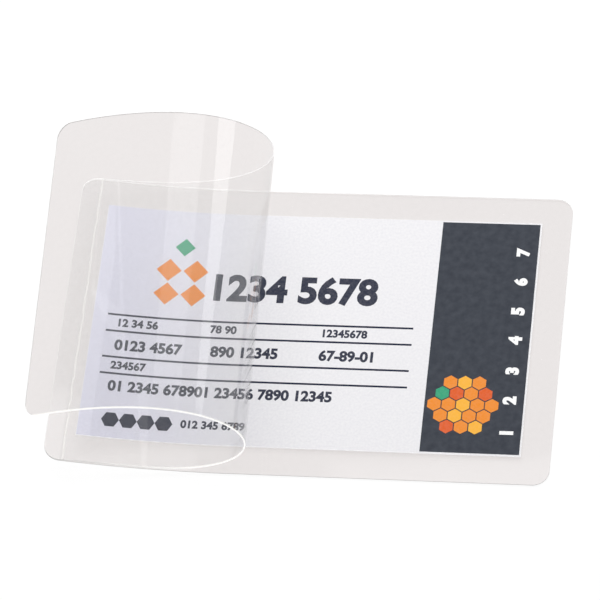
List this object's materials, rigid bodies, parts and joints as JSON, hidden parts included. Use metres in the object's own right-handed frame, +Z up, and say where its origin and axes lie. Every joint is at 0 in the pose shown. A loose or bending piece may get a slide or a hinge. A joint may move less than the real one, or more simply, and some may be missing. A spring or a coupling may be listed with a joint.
{
  "type": "laminating pouch",
  "caption": "Clear laminating pouch of key card size, its top film sealed along a short edge and curled open over the paper card that lies in it.",
  "frame": {"origin": "middle of the bottom film's underside, on the table", "axes": "+X along the pouch away from its sealed edge, +Y across it, +Z up"},
  "size_m": [0.099, 0.0655, 0.0326],
  "materials": {
    "film": "clear glossy polyester film",
    "card": "matt printed card stock"
  },
  "bodies": {
    "root": {"bottom_film": "film", "top_film": "film", "card_insert": "card"}
  },
  "joints": []
}
